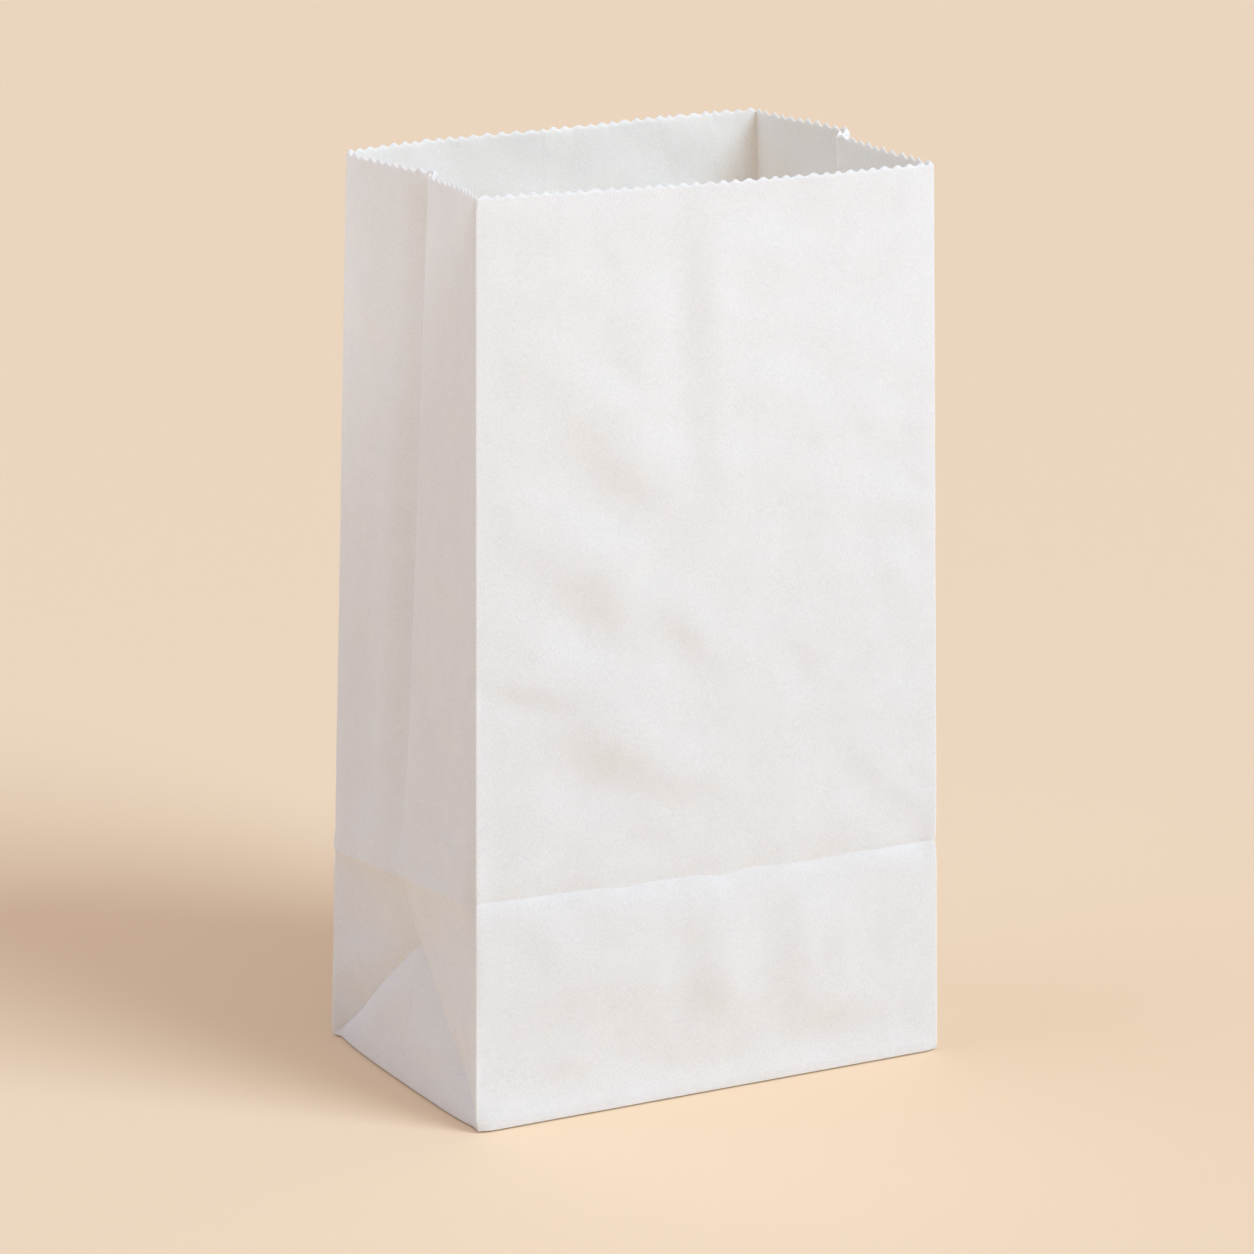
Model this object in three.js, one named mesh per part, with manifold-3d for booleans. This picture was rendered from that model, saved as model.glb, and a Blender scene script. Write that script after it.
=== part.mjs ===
// A plain white kraft paper bag that stands open on its flat folded bottom.
//
// Millimetres, +Z up. The wide front faces -Y and the pleated sides face -X and +X. The
// origin is the middle of the bag's bounding box, on the surface that the bag stands on.
//
// The body is one continuous skin: outlines stacked from the bottom fold to the toothed
// mouth, then back down the inside to the floor. The folded flaps of the bottom and the
// glued seam of the back are thin plates joined to it, so the whole bag is one solid.

import * as THREE from 'three';
import { mergeVertices } from 'three/addons/utils/BufferGeometryUtils.js';
import Module from 'manifold-3d';

// ---- Driving dimensions ----------------------------------------------------------------

const BASE_WIDTH = 152;
const BASE_DEPTH = 96;
const BAG_HEIGHT = 267;
const WALL = 0.5; // paper with the give of its creases
const FLOOR = 0.6; // the bottom without its flaps
const PLY = 0.2; // one step between the folded layers of the bottom

// Where the four vertical edges end at the mouth, and how far each stands above or below
// the bag's height.
const MOUTH_FRONT_LEFT = { x: -72.5, y: -44.9, lift: 1.5 };
const MOUTH_FRONT_RIGHT = { x: 70.4, y: -48.1, lift: -0.8 };
const MOUTH_BACK_RIGHT = { x: 67.3, y: 48.4, lift: 0 };
const MOUTH_BACK_LEFT = { x: -68.1, y: 46.4, lift: -0.8 };

// The cross crease, which the bag folds flat along, and the base triangles of the sides.
const CREASE_HEIGHT = 66;
const CREASE_REACH = 14; // height over which the wall leans in to the crease
const CREASE_DIP = 1.0;
const CORNER_DIP_SHARE = 0.35; // the stiff vertical edges give less than the panels
const APEX_HEIGHT = 41.5;
const APEX_X = 72.6;
const TRIANGLE_BULGE = 0.4; // of the side's bottom edge, at its middle

// Each side's pleat is a stepped fold: the front half ends at one line, the back half at
// another, and a short flank joins them. Both lines start at the cross crease and part
// towards the mouth.
const PLEAT_START_X = 74.5;
const PLEAT_START_GAP = 0.8;
const LEFT_FRONT_LINE = { x: -66.0, y: -1.8, growth: 1.05 };
const LEFT_BACK_LINE = { x: -60.8, y: 2.3, growth: 1.5 };
const RIGHT_FRONT_LINE = { x: 67.4, y: 1.4, growth: 1.05 };
const RIGHT_BACK_LINE = { x: 74.9, y: 6.7, growth: 1.5 };

// Outward bows of the panels at the mouth: half a wave, a whole wave and one and a half.
const FRONT_BOW = [3.8, 0, 0];
const BACK_BOW = [3.4, -0.4, 1.4];
const LEFT_BACK_HALF_BOW = [2.3, -0.2, 0.6];
const LEFT_FRONT_HALF_BOW = [-1.1, 0.3, 0];
const RIGHT_FRONT_HALF_BOW = [-0.8, -0.2, 0.3];
const RIGHT_BACK_HALF_BOW = [-0.9, 0.2, -0.2];
const FLAT = [0, 0, 0];

// Pinked mouth: rows of small teeth.
const TOOTH_DEPTH = 1.1;
const WIDE_TEETH = 36;
const HALF_SIDE_TEETH = 11;
const FLANK_TEETH = 2;

// Columns across each stretch of the outline, and the heights of the outlines. The base
// triangles' slanted edges run through the corners of the lowest cells.
const WIDE_COLUMNS = 18;
const HALF_SIDE_COLUMNS = 5;
const BOTTOM_FOLD_HEIGHT = 1.3;
const EDGE_TUCK = 0.5; // how far the folded bottom edge rounds in
const UPPER_HEIGHTS = [53, 60, 66, 72, 80, 105, 135, 165, 195, 225, 248, 261];

// Bottom flaps. Each is folded in from a long edge, past the middle, with 45 degree ends.
const FLAP_OVERLAP = 10;
const SIDE_FLAP_LAP = 1; // how far the point of a side's flap lies over the long flaps
const FLAP_MARGIN = 0.9; // from the wall's outer face
const FLOOR_MARGIN = 0.35; // from the wall's outer face, inside the wall

// Glued seam of the back panel: a raised overlap within one column.
const SEAM_COLUMN = 8;
const SEAM_RISE = 0.25;
const SEAM_EDGE = 0.04; // share of the column left clear at each side of the seam
const SEAM_OFFSET = 0.6; // its outlines lie this far above the wall's, so no two edges meet

const PAPER_COLOUR = 0xe9e6e6;
const PAPER_ROUGHNESS = 0.85;

// ---- Vertical lines of the bag ---------------------------------------------------------

const mix = THREE.MathUtils.lerp;

// A vertical edge runs straight from a base corner to its place at the mouth.
function edgeLine(baseX, baseY, mouth) {
  return {
    lift: mouth.lift,
    corner: true,
    at: (height) => {
      const rise = height / BAG_HEIGHT;
      return new THREE.Vector2(mix(baseX, mouth.x, rise), mix(baseY, mouth.y, rise));
    },
  };
}

// A pleat line follows the side's middle: out at the bottom edge, in at the triangle's
// apex, out at the cross crease, and then ever further in towards the mouth.
function pleatLine(mouth, startY) {
  const side = Math.sign(mouth.x);
  return {
    lift: 0,
    corner: false,
    at: (height) => {
      if (height < APEX_HEIGHT) {
        const baseX = BASE_WIDTH / 2 + TRIANGLE_BULGE;
        return new THREE.Vector2(side * mix(baseX, APEX_X, height / APEX_HEIGHT), startY);
      }
      if (height < CREASE_HEIGHT) {
        const rise = (height - APEX_HEIGHT) / (CREASE_HEIGHT - APEX_HEIGHT);
        return new THREE.Vector2(side * mix(APEX_X, PLEAT_START_X, rise), startY);
      }
      const rise = ((height - CREASE_HEIGHT) / (BAG_HEIGHT - CREASE_HEIGHT)) ** mouth.growth;
      return new THREE.Vector2(mix(side * PLEAT_START_X, mouth.x, rise), mix(startY, mouth.y, rise));
    },
  };
}

const halfWidth = BASE_WIDTH / 2;
const halfDepth = BASE_DEPTH / 2;
const halfGap = PLEAT_START_GAP / 2;

const frontLeft = edgeLine(-halfWidth, -halfDepth, MOUTH_FRONT_LEFT);
const frontRight = edgeLine(halfWidth, -halfDepth, MOUTH_FRONT_RIGHT);
const backRight = edgeLine(halfWidth, halfDepth, MOUTH_BACK_RIGHT);
const backLeft = edgeLine(-halfWidth, halfDepth, MOUTH_BACK_LEFT);
const rightFront = pleatLine(RIGHT_FRONT_LINE, -halfGap);
const rightBack = pleatLine(RIGHT_BACK_LINE, halfGap);
const leftBack = pleatLine(LEFT_BACK_LINE, halfGap);
const leftFront = pleatLine(LEFT_FRONT_LINE, -halfGap);

// The stretches of the outline, anticlockwise seen from above.
function stretch(from, to, columns, teeth, bow, falls = false) {
  return { from, to, columns, teeth, bow, falls };
}

const front = stretch(frontLeft, frontRight, WIDE_COLUMNS, WIDE_TEETH, FRONT_BOW);
const back = stretch(backRight, backLeft, WIDE_COLUMNS, WIDE_TEETH, BACK_BOW);
const outline = [
  front,
  stretch(frontRight, rightFront, HALF_SIDE_COLUMNS, HALF_SIDE_TEETH, RIGHT_FRONT_HALF_BOW),
  stretch(rightFront, rightBack, 1, FLANK_TEETH, FLAT),
  stretch(rightBack, backRight, HALF_SIDE_COLUMNS, HALF_SIDE_TEETH, RIGHT_BACK_HALF_BOW, true),
  back,
  stretch(backLeft, leftBack, HALF_SIDE_COLUMNS, HALF_SIDE_TEETH, LEFT_BACK_HALF_BOW),
  stretch(leftBack, leftFront, 1, FLANK_TEETH, FLAT),
  stretch(leftFront, frontLeft, HALF_SIDE_COLUMNS, HALF_SIDE_TEETH, LEFT_FRONT_HALF_BOW, true),
];

// ---- Form of the panels ----------------------------------------------------------------

// How far the wall dips in at a height, from 0 away from the cross crease to 1 on it.
function creaseShare(height) {
  return Math.max(0, 1 - Math.abs(height - CREASE_HEIGHT) / CREASE_REACH);
}

// Below the apex a side is three flats: the base triangle, and one beside each slanted fold.
function foldSide(point, corner, inward, height) {
  const rise = height / APEX_HEIGHT;
  const bulge = TRIANGLE_BULGE * Math.sin((inward * Math.PI) / 2);
  const side = Math.sign(corner.x);
  const triangleX = side * mix(halfWidth + bulge, APEX_X, rise);
  point.x = rise > 0 ? mix(corner.x, triangleX, Math.min(1, inward / rise)) : triangleX;
}

function panelPoint(part, share, height) {
  const from = part.from.at(height);
  const to = part.to.at(height);
  const point = from.clone().lerp(to, share);
  if (part.from.corner !== part.to.corner && height < APEX_HEIGHT) {
    const corner = part.from.corner ? from : to;
    foldSide(point, corner, part.from.corner ? share : 1 - share, height);
  }
  const along = to.clone().sub(from).normalize();
  const growth = (height / BAG_HEIGHT) ** 2;
  const wave = part.bow.reduce((sum, bow, k) => sum + bow * Math.sin((k + 1) * Math.PI * share), 0);
  const isWide = part === front || part === back;
  const give = isWide ? mix(CORNER_DIP_SHARE, 1, Math.sin(Math.PI * share)) : CORNER_DIP_SHARE;
  const out = wave * growth - CREASE_DIP * give * creaseShare(height);
  return point.add(new THREE.Vector2(along.y, -along.x).multiplyScalar(out));
}

function liftAt(part, share) {
  return mix(part.from.lift, part.to.lift, share);
}

// ---- Outlines --------------------------------------------------------------------------

// One outline of single columns at a height. marks holds the first point of each column.
function columnRing(height) {
  const points = [];
  for (const part of outline) {
    for (let column = 0; column < part.columns; column += 1) {
      const share = column / part.columns;
      const flat = panelPoint(part, share, height);
      const z = height + liftAt(part, share) * (height / BAG_HEIGHT) ** 3;
      points.push(new THREE.Vector3(flat.x, flat.y, z));
    }
  }
  return { points, marks: [...points.keys(), points.length] };
}

// The mouth: each tooth is a low point and a high point.
function toothRing() {
  const points = [];
  const marks = [];
  for (const part of outline) {
    const halves = 2 * part.teeth;
    for (let column = 0; column < part.columns; column += 1) {
      marks.push(points.length + Math.round((column * halves) / part.columns));
    }
    for (let half = 0; half < halves; half += 1) {
      const share = half / halves;
      const flat = panelPoint(part, share, BAG_HEIGHT);
      const z = BAG_HEIGHT + liftAt(part, share) - (half % 2 === 0 ? TOOTH_DEPTH : 0);
      points.push(new THREE.Vector3(flat.x, flat.y, z));
    }
  }
  marks.push(points.length);
  return { points, marks };
}

// The same outline, moved in level by a distance.
function insetRing(ring, distance) {
  const count = ring.points.length;
  const points = ring.points.map((point, index) => {
    const before = ring.points[(index + count - 1) % count];
    const after = ring.points[(index + 1) % count];
    const first = new THREE.Vector2(before.y - point.y, point.x - before.x).normalize();
    const second = new THREE.Vector2(point.y - after.y, after.x - point.x).normalize();
    const sum = first.clone().add(second);
    const reach = distance / (1 + first.dot(second));
    return new THREE.Vector3(point.x + sum.x * reach, point.y + sum.y * reach, point.z);
  });
  return { points, marks: ring.marks };
}

// ---- Closed skins ----------------------------------------------------------------------

// Fills one column between two outlines. falls picks which way an even cell is split.
function fillColumn(triangles, lower, upper, falls) {
  const lowerSteps = lower.length - 1;
  const upperSteps = upper.length - 1;
  let i = 0;
  let j = 0;
  while (i < lowerSteps || j < upperSteps) {
    const lowerNext = (i + 0.5) * upperSteps;
    const upperNext = (j + 0.5) * lowerSteps;
    const takeLower = j === upperSteps
      || (i < lowerSteps && (falls ? lowerNext <= upperNext : lowerNext < upperNext));
    if (takeLower) {
      triangles.push(lower[i], lower[i + 1], upper[j]);
      i += 1;
    } else {
      triangles.push(lower[i], upper[j + 1], upper[j]);
      j += 1;
    }
  }
}

function columnIndices(ring, start, column) {
  const indices = [];
  for (let index = ring.marks[column]; index <= ring.marks[column + 1]; index += 1) {
    indices.push(start + (index % ring.points.length));
  }
  return indices;
}

// Closes an end with a fan round its middle.
function closeEnd(positions, triangles, ring, start, facesDown) {
  const count = ring.points.length;
  const middle = new THREE.Vector3();
  ring.points.forEach((point) => middle.add(point));
  middle.divideScalar(count);
  const centre = positions.length / 3;
  positions.push(middle.x, middle.y, middle.z);
  for (let index = 0; index < count; index += 1) {
    const here = start + index;
    const next = start + ((index + 1) % count);
    triangles.push(centre, ...(facesDown ? [next, here] : [here, next]));
  }
}

// A closed geometry through a run of outlines. splits tells, for a column of the cells
// above an outline, which way they are split.
function closedSkin(rings, splits) {
  const positions = [];
  const triangles = [];
  const starts = rings.map((ring) => {
    const start = positions.length / 3;
    ring.points.forEach((point) => positions.push(point.x, point.y, point.z));
    return start;
  });
  for (let k = 0; k + 1 < rings.length; k += 1) {
    for (let column = 0; column + 1 < rings[k].marks.length; column += 1) {
      const lower = columnIndices(rings[k], starts[k], column);
      const upper = columnIndices(rings[k + 1], starts[k + 1], column);
      fillColumn(triangles, lower, upper, splits(k, column));
    }
  }
  closeEnd(positions, triangles, rings[0], starts[0], true);
  closeEnd(positions, triangles, rings[rings.length - 1], starts[rings.length - 1], false);
  const geometry = new THREE.BufferGeometry();
  geometry.setAttribute('position', new THREE.Float32BufferAttribute(positions, 3));
  geometry.setIndex(triangles);
  return geometry;
}

// The bag's wall and bottom.
function bodyGeometry() {
  const underside = 2 * PLY;
  const floorTop = underside + FLOOR;
  const triangleHeights = Array.from(
    { length: HALF_SIDE_COLUMNS },
    (_, k) => (APEX_HEIGHT * (k + 1)) / HALF_SIDE_COLUMNS,
  );
  const heights = [BOTTOM_FOLD_HEIGHT, ...triangleHeights, ...UPPER_HEIGHTS];
  const outside = [
    insetRing(columnRing(underside), EDGE_TUCK), // the fold rounds in under the bag
    ...heights.map(columnRing),
    toothRing(),
  ];
  const insideHeights = [...heights].reverse();
  insideHeights[insideHeights.length - 1] = floorTop;
  const inside = [toothRing(), ...insideHeights.map(columnRing)].map((ring) => insetRing(ring, WALL));
  const columnFalls = outline.flatMap((part) => Array(part.columns).fill(part.falls));
  const splits = (k, column) => columnFalls[column] !== (k >= outside.length);
  return closedSkin([...outside, ...inside], splits);
}

// ---- Thin plates -----------------------------------------------------------------------

function plate(corners, low, high) {
  const shape = new THREE.Shape(corners.map(([x, y]) => new THREE.Vector2(x, y)));
  const geometry = new THREE.ExtrudeGeometry(shape, { depth: high - low, bevelEnabled: false });
  return geometry.translate(0, 0, low);
}

// A flap folded in from the long edge at y = -side * depth / 2, with 45 degree ends.
function flapCorners(side, margin) {
  const outerX = halfWidth - margin;
  const outerY = halfDepth - margin;
  const reach = outerY + FLAP_OVERLAP;
  const corners = [
    [-outerX, -outerY],
    [outerX, -outerY],
    [outerX - reach, FLAP_OVERLAP],
    [reach - outerX, FLAP_OVERLAP],
  ];
  return side > 0 ? corners : corners.map(([x, y]) => [-x, -y]);
}

// The side's own flap: a triangle from the short edge to the middle line.
function sideFlapCorners(side, margin) {
  const outerX = halfWidth - margin;
  const outerY = halfDepth - margin;
  const point = [side * (outerX - outerY - SIDE_FLAP_LAP), 0];
  return [[side * outerX, -side * outerY], [side * outerX, side * outerY], point];
}

// Layers of the bottom, from the outermost flap up to the side flaps on the floor.
function bottomPlates() {
  const floorTop = 2 * PLY + FLOOR;
  const outerJoin = 2 * PLY + FLOOR / 4; // heights inside the bottom, where plates run into it
  const innerJoin = floorTop - FLOOR / 4;
  return [
    plate(flapCorners(1, FLAP_MARGIN), 0, outerJoin),
    plate(flapCorners(-1, FLAP_MARGIN), PLY, outerJoin),
    plate(flapCorners(-1, FLOOR_MARGIN), innerJoin, floorTop + PLY),
    plate(sideFlapCorners(-1, FLOOR_MARGIN), innerJoin, floorTop + 2 * PLY),
    plate(sideFlapCorners(1, FLOOR_MARGIN), innerJoin, floorTop + 2 * PLY),
  ];
}

// The seam where the sheet's two ends are glued together, up the middle of the back.
function seamGeometry() {
  const shares = [SEAM_COLUMN + SEAM_EDGE, SEAM_COLUMN + 1 - SEAM_EDGE].map((c) => c / WIDE_COLUMNS);
  const heights = [BOTTOM_FOLD_HEIGHT, ...UPPER_HEIGHTS].map((height) => height + SEAM_OFFSET);
  const rings = heights.map((height) => {
    const [first, second] = shares.map((share) => panelPoint(back, share, height));
    const out = new THREE.Vector2(second.y - first.y, first.x - second.x).normalize();
    const corners = [
      [first, SEAM_RISE], [second, SEAM_RISE], [second, -WALL / 2], [first, -WALL / 2],
    ];
    const points = corners.map(([point, rise]) => new THREE.Vector3(
      point.x + out.x * rise,
      point.y + out.y * rise,
      height,
    ));
    return { points, marks: [0, 1, 2, 3, 4] };
  });
  return closedSkin(rings, () => false);
}

// ---- The bag ---------------------------------------------------------------------------

const wasm = await Module();
wasm.setup();

function toSolid(geometry) {
  const bare = geometry.clone();
  bare.deleteAttribute('normal');
  bare.deleteAttribute('uv');
  const merged = mergeVertices(bare);
  return new wasm.Manifold(new wasm.Mesh({
    numProp: 3,
    vertProperties: new Float32Array(merged.getAttribute('position').array),
    triVerts: new Uint32Array(merged.getIndex().array),
  }));
}

function toGeometry(solid) {
  const mesh = solid.getMesh();
  const geometry = new THREE.BufferGeometry();
  geometry.setAttribute('position', new THREE.Float32BufferAttribute(mesh.vertProperties, 3));
  geometry.setIndex(new THREE.Uint32BufferAttribute(mesh.triVerts, 1));
  return geometry;
}

function bagGeometry() {
  const solids = [bodyGeometry(), seamGeometry(), ...bottomPlates()].map(toSolid);
  const geometry = toGeometry(solids.reduce((whole, piece) => whole.add(piece)));
  geometry.computeBoundingBox();
  const middle = geometry.boundingBox.getCenter(new THREE.Vector3());
  geometry.translate(-middle.x, -middle.y, -geometry.boundingBox.min.z);
  geometry.computeVertexNormals();
  return geometry;
}

const paper = new THREE.MeshStandardMaterial({
  color: PAPER_COLOUR,
  roughness: PAPER_ROUGHNESS,
  metalness: 0,
});

const bag = new THREE.Mesh(bagGeometry(), paper);
bag.name = 'paper_bag';

const group = new THREE.Group();
group.add(bag);

export default group;
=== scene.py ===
"""A plain white kraft paper bag that stands open on a pale studio floor.

The bag is one sheet of white kraft paper, glued into a tube with a pleat down each side. Its
bottom is folded flat from four flaps, and its mouth is cut in small pinked teeth. The sheet
is modelled as a thin closed skin with its folds, its cross crease and the soft dents that
handling leaves in it. Sizes are in millimetres until a mesh is made.
"""

import logging
import math
from dataclasses import dataclass, field
from enum import Enum
from typing import Any, Sequence

import bpy
import numpy as np
from mathutils import Matrix, Vector

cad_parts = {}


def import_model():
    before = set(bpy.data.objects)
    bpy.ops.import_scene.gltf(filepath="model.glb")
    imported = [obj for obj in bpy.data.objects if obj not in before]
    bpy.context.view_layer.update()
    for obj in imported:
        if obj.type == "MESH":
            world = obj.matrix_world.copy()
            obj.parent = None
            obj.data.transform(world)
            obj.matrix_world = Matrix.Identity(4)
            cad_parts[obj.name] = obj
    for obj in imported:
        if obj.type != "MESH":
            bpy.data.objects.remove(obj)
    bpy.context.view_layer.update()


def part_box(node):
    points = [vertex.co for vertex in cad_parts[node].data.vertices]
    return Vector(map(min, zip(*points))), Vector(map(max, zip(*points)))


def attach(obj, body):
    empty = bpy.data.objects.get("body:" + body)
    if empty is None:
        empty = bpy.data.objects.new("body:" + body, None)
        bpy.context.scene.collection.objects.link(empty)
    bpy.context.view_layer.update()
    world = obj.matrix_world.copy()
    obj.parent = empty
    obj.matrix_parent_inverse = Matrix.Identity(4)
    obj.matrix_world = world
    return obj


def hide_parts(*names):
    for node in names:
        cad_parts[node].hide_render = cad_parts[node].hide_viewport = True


LOG = logging.getLogger("paper_bag")

MM = 0.001
BODY = "root"
NODE = "paper_bag"
IMAGE_SIDE = 1254  # pixels across the square picture
TINY = 1e-6
MOUTH_SAMPLES = 73  # points across each panel when the mouth's reach is measured

# Numbers stored on the sheet's points.
TOOTH_TURN = "tooth_turn"  # count of teeth from the first panel
CUT_WEIGHT = "cut_weight"  # how much the cut of the mouth moves a point
INNER_FACE = "inner_face"  # 1 on the sheet's inner face

# How much each outline near the mouth follows the cut: up the outside, then down the inside.
CUT_WEIGHTS = (0.12, 0.45, 1.0, 1.0, 0.45, 0.12)

Array = np.ndarray
Face = tuple[int, int, int]


# ---- Small helpers ---------------------------------------------------------------------


def ease(value: Array) -> Array:
    """Returns value clamped to 0..1 and eased at both ends."""
    clamped = np.clip(value, 0.0, 1.0)
    return clamped * clamped * (3.0 - 2.0 * clamped)


def mix(first: Any, second: Any, share: Any) -> Any:
    """Returns the value that lies at share between first and second."""
    return first + (second - first) * share


def flat_field(share: Array, height: Array) -> Array:
    """Returns a zero for each point of a panel."""
    return np.zeros(np.broadcast(share, height).shape)


def direction(azimuth: float, elevation: float) -> Vector:
    """Returns the unit vector towards a compass turn, in degrees right of the front, and a height."""
    turn, tilt = math.radians(azimuth), math.radians(elevation)
    return Vector((math.sin(turn) * math.cos(tilt), -math.cos(turn) * math.cos(tilt), math.sin(tilt)))


def linear_colour(code: str) -> tuple[float, float, float, float]:
    """Turns an sRGB hex colour into linear red, green, blue and alpha.

    Args:
        code: Six hex digits, such as "e9e6e6".

    Returns:
        The linear colour with alpha 1.
    """
    channels = [int(code[k : k + 2], 16) / 255.0 for k in (0, 2, 4)]
    linear = [c / 12.92 if c <= 0.04045 else ((c + 0.055) / 1.055) ** 2.4 for c in channels]
    return (linear[0], linear[1], linear[2], 1.0)


def mesh_object(name: str, points: Array, faces: Sequence[Sequence[int]]) -> bpy.types.Object:
    """Makes a linked mesh object at the origin, smooth shaded.

    Args:
        name: The object's name.
        points: Corner points in millimetres, one row each.
        faces: Corner indices of each face, anticlockwise seen from outside.

    Returns:
        The new object.
    """
    mesh = bpy.data.meshes.new(name)
    mesh.from_pydata((np.asarray(points) * MM).tolist(), [], [tuple(map(int, f)) for f in faces])
    mesh.validate()
    mesh.shade_smooth()
    piece = bpy.data.objects.new(name, mesh)
    bpy.context.scene.collection.objects.link(piece)
    return piece


# ---- Lines and panels of the bag -------------------------------------------------------


class Wall(Enum):
    """The stretches of the bag's outline, anticlockwise seen from above."""

    FRONT = "front"
    RIGHT_FRONT = "right_front"
    RIGHT_FLANK = "right_flank"
    RIGHT_BACK = "right_back"
    BACK = "back"
    LEFT_BACK = "left_back"
    LEFT_FLANK = "left_flank"
    LEFT_FRONT = "left_front"


@dataclass(frozen=True)
class BagSizes:
    """Driving sizes of the bag, in millimetres."""

    width: float = 152.0
    depth: float = 96.0
    height: float = 267.0
    paper: float = 0.26  # one ply, with the loft of its fibres
    flap_ply: float = 0.1  # one step between the folded layers of the bottom
    crease_height: float = 66.0
    apex_height: float = 41.5  # tip of each side's base triangle
    apex_x: float = 71.4
    pleat_start_x: float = 74.5  # where a pleat meets the cross crease
    base_bulge: float = 0.4  # of the side's bottom edge, at its middle


@dataclass(frozen=True)
class EdgeLine:
    """A vertical fold between two panels, straight from the base to the mouth."""

    base: tuple[float, float]
    mouth: tuple[float, float]
    lift: float  # how far its end stands above the bag's height
    crease: float  # where the cross crease meets it
    sizes: BagSizes
    is_corner: bool = True
    notch: float = 0.35  # how far the crease pinches it in
    notch_reach: float = 1.6

    def at(self, height: Array) -> Array:
        """Returns the line's place in plan at each height."""
        heights = np.asarray(height, float)[..., None]
        plan = mix(np.array(self.base), np.array(self.mouth), heights / self.sizes.height)
        pinch = self.notch * np.exp(-np.abs(heights - self.crease) / self.notch_reach)
        return plan - np.sign(plan) * pinch


@dataclass(frozen=True)
class PleatLine:
    """One line of a side's pleat: in at the base triangle, out at the crease, in to the mouth."""

    side: float  # -1 on the left, 1 on the right
    start_y: float
    mouth: tuple[float, float]
    growth: float  # over 1, it goes in late on its way to the mouth
    crease: float
    sizes: BagSizes
    lift: float = 0.0
    is_corner: bool = False

    def at(self, height: Array) -> Array:
        """Returns the line's place in plan at each height."""
        s = self.sizes
        h = np.asarray(height, float)
        base_x = s.width / 2 + s.base_bulge
        low = mix(base_x, s.apex_x, np.clip(h / s.apex_height, 0, 1))
        middle = np.clip((h - s.apex_height) / (s.crease_height - s.apex_height), 0, 1)
        below = self.side * mix(low, s.pleat_start_x, middle)
        upper = np.clip((h - s.crease_height) / (s.height - s.crease_height), 0, None)
        rise = upper**self.growth
        x = mix(below, self.mouth[0], rise)
        y = mix(self.start_y, self.mouth[1], rise)
        return np.stack([x, y * np.ones_like(x)], axis=-1)


@dataclass(frozen=True)
class Panel:
    """A stretch of the outline between two lines."""

    wall: Wall
    start: EdgeLine | PleatLine
    end: EdgeLine | PleatLine
    bow: tuple[float, float, float]  # outward, as half a wave, a whole wave, one and a half
    shares: Array  # places of its columns, from 0 to 1
    teeth: int
    span: float  # its width along the base
    splits_down: bool = False  # which way its cells are cut into triangles

    @property
    def is_side(self) -> bool:
        """True for the half of a side between a corner and the pleat."""
        return self.start.is_corner != self.end.is_corner


@dataclass(frozen=True)
class Ripple:
    """A soft step that handling left in a panel: the paper leans out along a band."""

    wall: Wall
    across: float  # share of the panel's width
    height: float
    length: float  # half the band's length
    breadth: float  # half its width
    turn: float  # degrees from upright, towards the panel's start at the top
    slope: float  # how steeply it leans out, towards the panel's end and the mouth


def column_shares(span: float, step: float, corner_steps: Sequence[float]) -> Array:
    """Places columns over half a side or a wide panel, close together beside a corner.

    Args:
        span: The panel's width.
        step: The usual distance between columns.
        corner_steps: Distances of the first columns from the corner.

    Returns:
        Shares of the span from 0, at the corner, to 1.
    """
    start = corner_steps[-1]
    count = max(1, round((span - start) / step))
    rest = start + (span - start) * np.arange(1, count + 1) / count
    return np.concatenate([np.array(corner_steps), rest]) / span


# ---- Relief ----------------------------------------------------------------------------


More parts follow.
